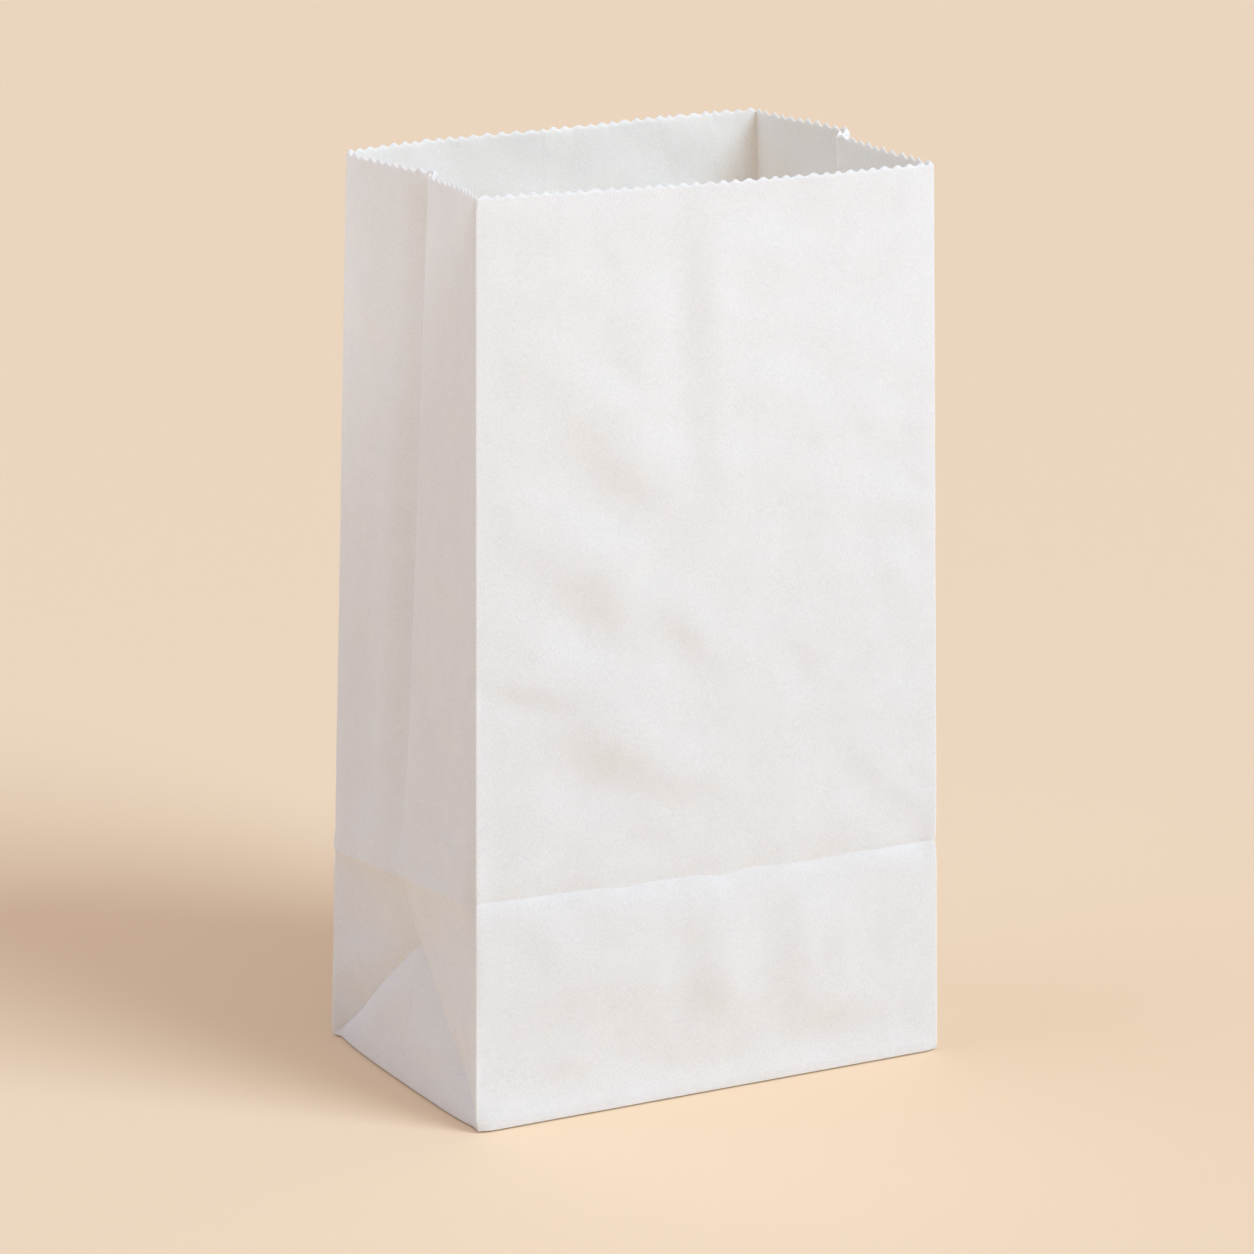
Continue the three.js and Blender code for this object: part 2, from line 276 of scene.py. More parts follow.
@dataclass
class SoftRelief:
    """Uneven, gently crumpled surface of handled paper, as outward offsets."""

    sizes: BagSizes
    ripples: Sequence[Ripple]
    seed: int = 7
    swell_waves: int = 46
    swell_length: tuple[float, float] = (18.0, 60.0)
    swell_height: float = 0.17
    crumple_waves: int = 60
    crumple_length: tuple[float, float] = (6.0, 18.0)
    crumple_height: float = 0.06
    edge_hold: float = 11.0  # a fold keeps the paper flat this far beside it
    edge_share: float = 0.15  # relief that is left on the fold
    foot_hold: float = 16.0
    foot_share: float = 0.1
    ripple_hold: float = 2.0

    def waves(
        self, around: Array, height: Array, count: int, length: tuple[float, float], seed: int
    ) -> Array:
        """Sums plane waves of seeded directions and lengths, to about 1 in height.

        Args:
            around: Distance round the bag.
            height: Height on the bag.
            count: How many waves.
            length: Shortest and longest wave.
            seed: Seed of the draw.

        Returns:
            The summed waves, of standard deviation 1.
        """
        rng = np.random.default_rng(seed)
        total = flat_field(around, height)
        for _ in range(count):
            wave = length[0] * (length[1] / length[0]) ** rng.random()
            angle = rng.random() * math.pi
            phase = rng.random() * 2 * math.pi
            along = around * math.cos(angle) + height * math.sin(angle)
            total += np.sin(2 * math.pi * along / wave + phase)
        return total * math.sqrt(2 / count)

    def ripple_field(self, panel: Panel, share: Array, height: Array) -> Array:
        """Returns the summed ripples of a panel, as outward offsets."""
        total = flat_field(share, height)
        for ripple in self.ripples:
            if ripple.wall is not panel.wall:
                continue
            turn = math.radians(ripple.turn)
            dx = (share - ripple.across) * panel.span
            dz = height - ripple.height
            over = dx * math.cos(turn) + dz * math.sin(turn)
            along = dz * math.cos(turn) - dx * math.sin(turn)
            fade = np.exp(-((over / ripple.breadth) ** 2) - (along / ripple.length) ** 2)
            total += ripple.slope * over * fade
        return total

    def at(self, panel: Panel, around: Array, share: Array, height: Array) -> Array:
        """Returns how far each point of a panel stands out of its smooth form."""
        swell = self.waves(around, height, self.swell_waves, self.swell_length, self.seed)
        crumple = self.waves(around, height, self.crumple_waves, self.crumple_length, self.seed + 1)
        ridges = 1.0 - np.abs(crumple)
        rough = self.swell_height * swell + self.crumple_height * ridges
        nearest = np.minimum(share, 1.0 - share) * panel.span
        hold = mix(self.edge_share, 1.0, ease(nearest / self.edge_hold))
        floor_hold = mix(self.foot_share, 1.0, ease(height / self.foot_hold))
        ripples = self.ripple_field(panel, share, height) * ease(nearest / self.ripple_hold)
        return (rough * hold + ripples) * floor_hold


# ---- The bag's form --------------------------------------------------------------------


@dataclass
class BagForm:
    """The sheet's shape: panels between fold lines, with creases, seam and relief."""

    sizes: BagSizes = field(default_factory=BagSizes)
    bow_growth: float = 2.0  # how the bow of a wall grows towards the mouth
    side_bow_growth: float = 0.9
    crease_dip: float = 0.95
    crease_fade_above: float = 15.0
    crease_fade_below: float = 3.5
    crease_wobble: float = 0.4  # how far the crease wavers up and down
    wobble_waves: tuple[tuple[float, float, float], ...] = ((1.0, 4.9, 1.3), (0.6, 2.7, 0.4))
    slope_reach: float = 22.0  # the crease's slope dies away over this height
    side_ridge: float = 3.0  # on a side the crease stands out instead
    side_fade_above: float = 14.0
    side_fade_below: float = 7.5
    crease_reach: float = 6.0  # from a corner to the crease's full depth
    triangle_valley: float = 2.1  # depth of the folds beside a base triangle
    triangle_fade: float = 7.0
    triangle_start: float = 0.12  # share of the side over which a valley sets in
    pleat_groove: float = 0.12  # how deep the flattened pleat's line is below the crease
    pleat_groove_rise: float = 4.0
    belly: float = 2.5  # how far the front bows out at middle height
    belly_rise: float = 40.0
    left_corner_ridge: tuple[float, float] = (0.35, 4.0)  # height and reach
    right_corner_round: tuple[float, float] = (0.3, 5.0)
    corner_rise: float = 16.0
    fold_groove_height: float = 1.3  # the groove over the lip of the bottom fold
    fold_groove_reach: float = 0.35
    fold_groove: float = 0.2
    pleat_round: float = 0.36  # how far the paper turns in at a pleat's front fold
    pleat_round_reach: float = 1.2
    pleat_round_rise: float = 10.0
    foot_flare: float = 0.7  # the front and back spread a little at the foot
    flare_height: float = 9.0
    flare_reach: float = 4.0  # from a corner to the full spread
    seam_shares: tuple[float, float] = (0.448, 0.522)
    seam_edge: float = 0.004  # half the share over which each end of the sheet tapers off
    seam_step: float = 0.12
    seam_fade: float = 0.05  # share over which the lap sinks back into the wall
    panel_step: float = 1.95  # between the columns of the mesh
    corner_steps: tuple[float, ...] = (0.0, 0.5, 0.9, 1.5, 2.4)
    flank_shares: tuple[float, ...] = (0.0, 0.12, 0.5, 0.88, 1.0)
    side_shares: Array = field(init=False)
    panels: list[Panel] = field(init=False)
    relief: SoftRelief = field(init=False)

    def __post_init__(self) -> None:
        """Builds the lines, the panels and the relief from the sizes."""
        s = self.sizes
        half_w, half_d = s.width / 2, s.depth / 2
        front_left = EdgeLine((-half_w, -half_d), (-72.5, -44.9), 1.5, 67.6, s)
        front_right = EdgeLine((half_w, -half_d), (70.4, -48.1), -0.8, 65.0, s)
        back_right = EdgeLine((half_w, half_d), (67.3, 48.4), 0.0, 62.0, s)
        back_left = EdgeLine((-half_w, half_d), (-68.1, 46.4), -0.8, 59.5, s)
        right_front = PleatLine(1, -0.4, (67.4, 1.4), 1.05, 64.0, s)
        right_back = PleatLine(1, 0.4, (74.9, 6.7), 1.25, 64.0, s)
        left_back = PleatLine(-1, 0.4, (-60.8, 2.3), 0.82, 63.8, s)
        left_front = PleatLine(-1, -0.4, (-66.0, -1.8), 1.05, 63.8, s)
        half = column_shares(half_d, self.panel_step, self.corner_steps)
        wide_half = column_shares(half_w, self.panel_step, self.corner_steps) / 2
        wide = np.concatenate([wide_half, 1 - wide_half[-2::-1]])
        ends = np.array(self.seam_shares)
        seam = np.concatenate([ends - self.seam_edge, ends + self.seam_edge])
        back = np.sort(np.concatenate([wide, seam]))
        flank = np.array(self.flank_shares)
        mirrored = 1 - half[::-1]
        flat = (0.0, 0.0, 0.0)
        self.side_shares = half
        self.panels = [
            Panel(Wall.FRONT, front_left, front_right, (3.8, 0.0, 0.0), wide, 37, s.width),
            Panel(Wall.RIGHT_FRONT, front_right, right_front, (-0.8, -0.2, 0.3), half, 11, half_d),
            Panel(Wall.RIGHT_FLANK, right_front, right_back, flat, flank, 2, 9.0),
            Panel(Wall.RIGHT_BACK, right_back, back_right, (-0.9, 0.2, -0.2), mirrored, 11, half_d, True),
            Panel(Wall.BACK, back_right, back_left, (3.4, -0.4, 1.4), back, 35, s.width),
            Panel(Wall.LEFT_BACK, back_left, left_back, (2.3, -0.2, 0.6), half, 11, half_d),
            Panel(Wall.LEFT_FLANK, left_back, left_front, flat, flank, 2, 7.0),
            Panel(Wall.LEFT_FRONT, left_front, front_left, (-1.1, 0.3, 0.0), mirrored, 11, half_d, True),
        ]
        self.relief = SoftRelief(s, FRONT_RIPPLES + SIDE_RIPPLES + BACK_RIPPLES)

    def crease_offset(self, panel: Panel, share: Array, height: Array) -> Array:
        """Returns the cross crease: a cusp, in on the front and back and out on the sides."""
        gap = height - self.sizes.crease_height
        if panel.wall in (Wall.FRONT, Wall.BACK):
            size, above, below = -self.crease_dip, self.crease_fade_above, self.crease_fade_below
            nearest = np.minimum(share, 1.0 - share) * panel.span
        else:
            size, above, below = self.side_ridge, self.side_fade_above, self.side_fade_below
            inward = share if panel.start.is_corner else 1.0 - share
            nearest = inward * panel.span if panel.is_side else np.full_like(share, self.crease_reach)
        cusp = np.exp(-np.abs(gap) / np.where(gap > 0, above, below))
        return size * ease(nearest / self.crease_reach) * cusp

    def real_height(self, panel: Panel, share: Array, height: Array) -> Array:
        """Returns the true height of a row's point: the crease and the mouth aren't quite level."""
        s = self.sizes
        lift = mix(panel.start.lift, panel.end.lift, share) * (height / s.height) ** 3
        slope = mix(panel.start.crease, panel.end.crease, share) - s.crease_height
        near = np.cos(np.clip((height - s.crease_height) / self.slope_reach, -1, 1) * math.pi / 2) ** 2
        across = share * panel.span
        wave = sum(size * np.sin(across / length + phase) for size, length, phase in self.wobble_waves)
        wobble = self.crease_wobble * wave * np.sin(math.pi * share)
        return height + lift + (slope + wobble) * near

    def triangle_folds(self, panel: Panel, share: Array, height: Array) -> Array:
        """Returns the valleys along the slanted folds of a side's base triangle."""
        if panel.wall in (Wall.FRONT, Wall.BACK):
            return flat_field(share, height)
        inward = np.ones_like(share)
        if panel.is_side:
            inward = share if panel.start.is_corner else 1.0 - share
        gap = np.abs(height - inward * self.sizes.apex_height)
        return -self.triangle_valley * ease(inward / self.triangle_start) * np.exp(-gap / self.triangle_fade)

    def flat_pleat(self, panel: Panel, share: Array, height: Array) -> Array:
        """Returns the shallow groove that the pleat's line leaves where the side is flat."""
        if panel.wall not in (Wall.LEFT_FLANK, Wall.RIGHT_FLANK):
            return flat_field(share, height)
        below = 1.0 - ease((height - self.sizes.crease_height) / self.pleat_groove_rise)
        return -self.pleat_groove * np.sin(math.pi * share) * below

    def corner_ridges(self, panel: Panel, share: Array, height: Array) -> Array:
        """Returns the front's offset between its folds: proud at the left, rounded at the right."""
        if panel.wall is not Wall.FRONT:
            return flat_field(share, height)
        ridge, ridge_reach = self.left_corner_ridge
        drop, drop_reach = self.right_corner_round
        left = ridge * (1.0 - share) * (1.0 - np.exp(-share * panel.span / ridge_reach))
        right = drop * share * (1.0 - np.exp(-(1.0 - share) * panel.span / drop_reach))
        rise = height / self.sizes.height
        bow = self.belly * np.sin(math.pi * share) * ease(height / self.belly_rise) * (1.0 - rise**2)
        return (right - left) * ease(height / self.corner_rise) + bow

    def pleat_edge(self, panel: Panel, share: Array, height: Array) -> Array:
        """Returns how the rounded fold along a pleat turns in, above the cross crease."""
        if panel.wall not in (Wall.LEFT_FRONT, Wall.RIGHT_FRONT):
            return flat_field(share, height)
        inward = 1.0 - share if panel.start.is_corner else share
        above = ease((height - self.sizes.crease_height) / self.pleat_round_rise)
        return -self.pleat_round * above * np.exp(-inward * panel.span / self.pleat_round_reach)

    def foot_spread(self, panel: Panel, share: Array, height: Array) -> Array:
        """Returns how the front and the back spread at the foot, between their corners."""
        if panel.wall not in (Wall.FRONT, Wall.BACK):
            return flat_field(share, height)
        nearest = np.minimum(share, 1.0 - share) * panel.span
        return self.foot_flare * ease(nearest / self.flare_reach) * (1.0 - ease(height / self.flare_height))

    def seam_steps(self, panel: Panel, share: Array) -> tuple[Array, Array]:
        """Returns the outer and inner steps, as shares, where the sheet's ends overlap."""
        if panel.wall is not Wall.BACK:
            return np.zeros_like(share), np.zeros_like(share)
        first, last = self.seam_shares
        fade = 1.0 - ease((share - last) / self.seam_fade)
        outer = ease((share - first) / (2 * self.seam_edge) + 0.5) * fade
        inner = ease((share - last) / (2 * self.seam_edge) + 0.5) * fade
        return outer, inner

    def fold_side(self, panel: Panel, plan: Array, corner: Array, inward: Array, height: Array) -> Array:
        """Folds the foot of a side into its base triangle and the flat beside it."""
        s = self.sizes
        rise = np.clip(height / s.apex_height, TINY, None)
        side = np.sign(corner[..., 0])
        bulge = s.base_bulge * np.sin(inward * math.pi / 2)
        triangle = side * mix(s.width / 2 + bulge, s.apex_x, rise)
        folded = mix(corner[..., 0], triangle, np.minimum(1.0, inward / rise))
        plan[..., 0] = np.where(height < s.apex_height, folded, plan[..., 0])
        return plan

    def smooth(self, panel: Panel, share: Array, height: Array) -> tuple[Array, Array, Array]:
        """Places points on a panel's smooth form.

        Args:
            panel: The panel.
            share: Places across it, from 0 to 1.
            height: Row heights, which the crease and the mouth bend a little.

        Returns:
            The places in plan, the outward directions in plan and the true heights.
        """
        z = self.real_height(panel, share, height)
        start, end = panel.start.at(z), panel.end.at(z)
        plan = mix(start, end, share[..., None])
        if panel.is_side:
            corner = start if panel.start.is_corner else end
            inward = share if panel.start.is_corner else 1.0 - share
            plan = self.fold_side(panel, plan, corner, inward, z)
        along = end - start
        along /= np.linalg.norm(along, axis=-1, keepdims=True)
        out = np.stack([along[..., 1], -along[..., 0]], axis=-1)
        wave = sum(bow * np.sin((k + 1) * math.pi * share) for k, bow in enumerate(panel.bow))
        folds = self.crease_offset(panel, share, height) + self.flat_pleat(panel, share, z)
        folds = folds + self.triangle_folds(panel, share, height) + self.foot_spread(panel, share, z)
        folds = folds + self.pleat_edge(panel, share, z)
        growth = self.side_bow_growth if panel.is_side else self.bow_growth
        # Known fault: rounding puts the sides' lowest row just below zero, where this has no value.
        offset = wave * (z / self.sizes.height) ** growth + self.corner_ridges(panel, share, z) + folds
        return plan + out * offset[..., None], out, z

    def grid(self, heights: Array, around_start: dict[Wall, float]) -> tuple[Array, Array]:
        """Builds the sheet's outer points on a grid of rows and columns.

        Args:
            heights: Row heights, from the bottom up.
            around_start: Distance round the bag at which each panel starts.

        Returns:
            Points of the outer face, and the extra offsets of the inner face.
        """
        outer, extra = [], []
        for panel in self.panels:
            share, height = np.meshgrid(panel.shares[:-1], heights)
            points, offsets = self.skin_points(panel, share, height, around_start)
            outer.append(points)
            extra.append(offsets)
        return np.concatenate(outer, axis=1), np.concatenate(extra, axis=1)

    def skin_points(
        self, panel: Panel, share: Array, height: Array, around_start: dict[Wall, float]
    ) -> tuple[Array, Array]:
        """Places a panel's points, with relief, groove and seam, and the offsets of its inner face.

        Returns:
            Outer points, and the inner face's extra offset as an outward vector.
        """
        plan, out, z = self.smooth(panel, share, height)
        around = around_start[panel.wall] + share * panel.span
        bump = self.relief.at(panel, around, share, height)
        above_groove = (height - self.fold_groove_height) / self.fold_groove_reach
        bump = bump - self.fold_groove * np.exp(-(above_groove**2))
        seam_out, seam_in = self.seam_steps(panel, share)
        offset = bump + seam_out * self.seam_step
        points = np.dstack([plan + out * offset[..., None], z])
        extra = (seam_in - seam_out) * self.seam_step
        return points, np.dstack([out * extra[..., None], np.zeros_like(z)])


# Ripples of the front, from the mouth down: share across, height, half length, half width,
# turn and slope.
FRONT_RIPPLES = [
    Ripple(Wall.FRONT, *row)
    for row in (
        (0.272, 247.0, 8.0, 5.0, 30.0, 0.12),
        (0.462, 232.0, 24.0, 9.0, 4.0, 0.20),
        (0.480, 190.0, 16.0, 8.0, 2.0, 0.15),
        (0.319, 216.0, 8.0, 5.0, 45.0, 0.12),
        (0.815, 198.0, 14.0, 7.0, 45.0, 0.10),
        (0.280, 189.0, 22.0, 12.0, 43.0, 0.19),
        (0.950, 175.5, 6.0, 3.5, 55.0, 0.15),
        (0.965, 170.0, 4.0, 3.0, 80.0, -0.11),
        (0.880, 150.0, 10.0, 6.0, 30.0, 0.11),
        (0.240, 151.0, 15.0, 13.0, 45.0, 0.14),
        (0.440, 136.5, 15.0, 8.0, 40.0, 0.20),
        (0.705, 126.0, 12.0, 7.0, 35.0, 0.12),
        (0.090, 126.5, 13.0, 5.5, 67.0, 0.18),
        (0.280, 104.0, 26.0, 15.0, 52.0, 0.17),
        (0.835, 91.0, 12.0, 7.0, 45.0, 0.12),
        (0.955, 88.0, 6.0, 3.5, 55.0, 0.15),
        (0.965, 82.0, 4.0, 3.0, 80.0, -0.11),
        (0.367, 81.0, 10.0, 6.0, 75.0, 0.15),
        (0.137, 50.0, 10.0, 8.0, 10.0, 0.12),
        (0.330, 28.0, 60.0, 26.0, 90.0, 0.06),
        (0.475, 37.0, 17.0, 11.0, 6.0, 0.18),
        (0.558, 31.5, 11.0, 7.0, 10.0, -0.10),
        (0.666, 37.0, 20.0, 8.0, 4.0, 0.16),
        (0.808, 41.0, 11.0, 7.0, 10.0, -0.11),
    )
]

# Ripples of the sides. The panels of the left side run from the back to the front.
SIDE_RIPPLES = [
    Ripple(Wall.LEFT_BACK, 0.33, 34.0, 9.0, 5.0, 90.0, -0.25),
    Ripple(Wall.LEFT_BACK, 0.22, 18.0, 9.0, 8.0, 90.0, 0.26),
    Ripple(Wall.LEFT_FRONT, 0.72, 24.0, 9.0, 11.0, 90.0, 0.18),
    Ripple(Wall.LEFT_FRONT, 0.30, 52.0, 10.0, 6.0, 60.0, 0.14),
    Ripple(Wall.LEFT_BACK, 0.93, 168.0, 105.0, 14.0, 0.0, -0.36),
    Ripple(Wall.LEFT_BACK, 0.52, 232.0, 34.0, 13.0, 0.0, -0.14),
    Ripple(Wall.LEFT_BACK, 0.45, 92.0, 12.0, 8.0, 70.0, 0.14),
    Ripple(Wall.LEFT_BACK, 0.40, 128.0, 12.0, 8.0, 80.0, 0.12),
    Ripple(Wall.LEFT_BACK, 0.30, 215.0, 14.0, 9.0, 60.0, 0.12),
    Ripple(Wall.LEFT_FRONT, 0.45, 190.0, 36.0, 8.0, 4.0, 0.08),
    Ripple(Wall.LEFT_FRONT, 0.55, 110.0, 14.0, 8.0, 60.0, 0.14),
    Ripple(Wall.LEFT_FRONT, 0.50, 150.0, 12.0, 8.0, 75.0, 0.12),
    Ripple(Wall.RIGHT_FRONT, 0.40, 180.0, 32.0, 8.0, 0.0, 0.08),
    Ripple(Wall.RIGHT_BACK, 0.50, 120.0, 26.0, 9.0, 12.0, 0.08),
]

# Ripples of the back.
BACK_RIPPLES = [
    Ripple(Wall.BACK, *row)
    for row in (
        (0.28, 205.0, 26.0, 9.0, 30.0, 0.09),
        (0.62, 150.0, 24.0, 9.0, 40.0, 0.10),
        (0.34, 95.0, 18.0, 9.0, 35.0, 0.09),
        (0.75, 60.0, 15.0, 8.0, 10.0, 0.08),
    )
]


# ---- The sheet -------------------------------------------------------------------------


@dataclass
class Ring:
    """One closed outline of the skin, with the index at which each stretch starts."""

    points: Array
    marks: list[int]


@dataclass
class PaperSheet:
    """The wall and floor of the bag as one thin closed skin."""

    form: BagForm
    seed: int = 3
    row_step: float = 1.9
    mouth_band: float = 4.2  # height of the finely divided strip under the teeth
    tooth_steps: int = 6
    wide_cut_share: float = 0.72  # the waves are shallower on the front and back
    wide_span: float = 60.0  # a panel wider than this is the front or the back
    mouth_drops: tuple[float, float, float] = (2.6, 1.3, 0.0)  # fine outlines, below the mouth
    pitch_spread: float = 0.16  # unevenness of the teeth's widths
    pitch_limits: tuple[float, float] = (0.6, 1.5)
    cut_edge_share: float = 0.5  # the shears press the cut edge thinner
    rows_below_crease: int = 13
    crease_gap: float = 1.6
    crease_rows: tuple[float, ...] = (-0.7, 0.0, 0.7, 1.8)
    edge_tucks: tuple[float, ...] = (0.8, 0.3, 0.08)  # how far the lowest rows turn in
    edge_zone: float = 1.6
    corner_tuck: float = 0.8
    corner_tuck_height: float = 4.5
    corner_tuck_reach: float = 3.0
    corner_tuck_slant: float = 0.35
    steepest_corner: float = 0.4  # limits how far the inner face is moved at a sharp fold

    def around_start(self) -> dict[Wall, float]:
        """Returns the distance round the bag at which each panel starts."""
        starts, total = {}, 0.0
        for panel in self.form.panels:
            starts[panel.wall] = total
            total += panel.span
        return starts

    def row_heights(self) -> Array:
        """Returns the rows' heights: cells of the base triangles, then even steps to the mouth."""
        s = self.form.sizes
        low = s.apex_height * self.form.side_shares
        crease = s.crease_height
        below = np.linspace(s.apex_height, crease - self.crease_gap, self.rows_below_crease)[1:]
        near = crease + np.array(self.crease_rows)
        top = s.height - self.mouth_band
        count = round((top - crease - self.crease_rows[-1]) / self.row_step)
        above = np.linspace(crease + self.crease_rows[-1], top, count + 1)[1:]
        return np.concatenate([low, below, near, above])

    def tuck_bottom(self, points: Array, heights: Array) -> Array:
        """Rounds the bottom fold in under the bag, a little more at the front left corner."""
        for row, tuck in enumerate(self.edge_tucks):
            plan = points[row, :, :2]
            points[row, :, :2] = plan - np.sign(plan) * tuck * self.edge_share(plan)
        corner = points[:, 0, :2].copy()
        for row, height in enumerate(heights):
            if height > self.corner_tuck_height:
                break
            pull = self.corner_tuck * (1 - height / self.corner_tuck_height)
            away = np.linalg.norm(points[row, :, :2] - corner[row], axis=1)
            near = np.exp(-((away / self.corner_tuck_reach) ** 2))
            points[row, :, 0] += pull * near
            points[row, :, 1] += self.corner_tuck_slant * pull * near
        points[0, :, 2] = 2 * self.form.sizes.flap_ply
        return points

    def edge_share(self, plan: Array) -> Array:
        """Returns, for x and y, whether a point lies on that axis's outer edge."""
        s = self.form.sizes
        on_x = np.abs(np.abs(plan[:, 0]) - s.width / 2) < self.edge_zone
        on_y = np.abs(np.abs(plan[:, 1]) - s.depth / 2) < self.edge_zone
        return np.stack([on_x, on_y], axis=1).astype(float)

    def inner_points(self, outer: Array, extra: Array, floor: float) -> Array:
        """Moves each outline in by one ply, and lets the lowest ones end on the floor."""
        before = outer - np.roll(outer, 1, axis=1)
        after = np.roll(outer, -1, axis=1) - outer
        first = np.stack([before[..., 1], -before[..., 0]], axis=-1)
        second = np.stack([after[..., 1], -after[..., 0]], axis=-1)
        first /= np.linalg.norm(first, axis=-1, keepdims=True)
        second /= np.linalg.norm(second, axis=-1, keepdims=True)
        total = first + second
        opening = 1 + (first * second).sum(-1, keepdims=True)
        reach = self.form.sizes.paper / np.clip(opening, self.steepest_corner, None)
        inner = outer.copy()
        inner[..., :2] -= total * reach
        inner += extra
        inner[..., 2] = np.maximum(inner[..., 2], floor)
        return inner

    def tooth_ring_shares(self) -> tuple[list[Array], list[Array]]:
        """Places the finely divided columns of the mouth, with uneven teeth.

        Returns:
            For each panel, the columns' shares and their count of teeth from the first panel.
        """
        rng = np.random.default_rng(self.seed)
        shares, turns, total = [], [], 0
        for panel in self.form.panels:
            widths = 1 + self.pitch_spread * rng.standard_normal(panel.teeth)
            edges = np.concatenate([[0.0], np.cumsum(np.clip(widths, *self.pitch_limits))])
            edges /= edges[-1]
            steps = np.arange(panel.teeth * self.tooth_steps) / self.tooth_steps
            shares.append(np.interp(steps, np.arange(panel.teeth + 1), edges))
            turns.append(total + steps)
            total += panel.teeth
        return shares, turns

    def mouth_rings(self, around: dict[Wall, float]) -> tuple[list[Array], list[Array], list[int], Array]:
        """Builds the finely divided outlines under the teeth.

        Returns:
            Outer points and inner offsets of each outline, the marks of the main columns, and
            each column's count of teeth.
        """
        shares, turns = self.tooth_ring_shares()
        heights = self.form.sizes.height - np.array(self.mouth_drops)
        outer, extra = [], []
        for height in heights:
            parts = [
                self.form.skin_points(panel, share[None, :], np.full((1, len(share)), height), around)
                for panel, share in zip(self.form.panels, shares)
            ]
            outer.append(np.concatenate([part[0][0] for part in parts]))
            extra.append(np.concatenate([part[1][0] for part in parts]))
        marks, start = [], 0
        for panel, share in zip(self.form.panels, shares):
            places = np.searchsorted(share, panel.shares[:-1] - TINY / 1000)
            marks.extend((start + places).tolist())
            start += len(share)
        marks.append(start)
        return outer, extra, marks, np.concatenate(turns)

    def build(self) -> bpy.types.Object:
        """Builds the sheet, with the attributes that the tooth cutter reads.

        Returns:
            The sheet, still with a level mouth.
        """
        around = self.around_start()
        heights = self.row_heights()
        outer, extra = self.form.grid(heights, around)
        outer = self.tuck_bottom(outer, heights)
        floor = 2 * self.form.sizes.flap_ply + self.form.sizes.paper
        inner = self.inner_points(outer, extra, floor)
        fine_outer, fine_extra, fine_marks, turns = self.mouth_rings(around)
        fine_inner = [
            self.inner_points(points[None], more[None], floor)[0]
            for points, more in zip(fine_outer, fine_extra)
        ]
        fine_inner[-1] = mix(fine_outer[-1], fine_inner[-1], self.cut_edge_share)
        columns = list(range(outer.shape[1] + 1))
        rings = [Ring(row, columns) for row in outer]
        rings += [Ring(points, fine_marks) for points in fine_outer]
        rings += [Ring(points, fine_marks) for points in reversed(fine_inner)]
        rings += [Ring(row, columns) for row in inner[::-1] if row[0, 2] > floor + TINY]
        down = np.concatenate([np.full(len(p.shares) - 1, p.splits_down) for p in self.form.panels])
        turning = len(outer) + len(fine_outer)
        points, faces, starts = close_rings(rings, down, turning)
        piece = mesh_object("paper_sheet", points, faces)
        self.write_tooth_attributes(piece, starts, len(outer), turns, self.cut_shares())
        self.mark_folds(piece, self.fold_pairs(heights, starts))
        return piece

    def fold_pairs(self, heights: Array, starts: list[int]) -> set[tuple[int, int]]:
        """Lists the edges round the bottom and the floor, along the cross crease and the folds.

        Args:
            heights: Row heights.
            starts: Index of each outline's first point.

        Returns:
            Pairs of point indices, the lower index first.
        """
        form = self.form
        count = sum(len(panel.shares) - 1 for panel in form.panels)
        row = int(np.argmin(np.abs(heights - form.sizes.crease_height)))
        level = (starts[0], starts[row], starts[-1])
        pairs = [(start + k, start + (k + 1) % count) for start in level for k in range(count)]
        first = 0
        for panel in form.panels:
            steps = len(panel.shares) - 1
            if panel.wall in (Wall.LEFT_FLANK, Wall.RIGHT_FLANK):
                for low in range(row, len(heights) - 1):
                    for column in (first, first + steps):
                        pairs.append((starts[low] + column, starts[low + 1] + column))
            if panel.is_side:
                for low in range(steps):
                    ends = (low, low + 1) if panel.start.is_corner else (steps - low, steps - low - 1)
                    here = starts[low] + (first + ends[0]) % count
                    pairs.append((here, starts[low + 1] + (first + ends[1]) % count))
            first += steps
        return {(min(pair), max(pair)) for pair in pairs}

    @staticmethod
    def mark_folds(piece: bpy.types.Object, pairs: set[tuple[int, int]]) -> None:
        """Marks edges as sharp, so that the paper's shade breaks along a fold."""
        sharp = [tuple(sorted(edge.vertices)) in pairs for edge in piece.data.edges]
        LOG.info("%d crisp fold edges of %d", sum(sharp), len(pairs))
        attribute = piece.data.attributes.new("sharp_edge", "BOOLEAN", "EDGE")
        attribute.data.foreach_set("value", sharp)

    def cut_shares(self) -> Array:
        """Returns how deep the cut goes at each fine column, eased where panels meet."""
        shares = [
            np.full(
                panel.teeth * self.tooth_steps, 1.0 if panel.span < self.wide_span else self.wide_cut_share
            )
            for panel in self.form.panels
        ]
        around = np.concatenate(shares)
        reach = self.tooth_steps
        return sum(np.roll(around, k) for k in range(-reach, reach + 1)) / (2 * reach + 1)

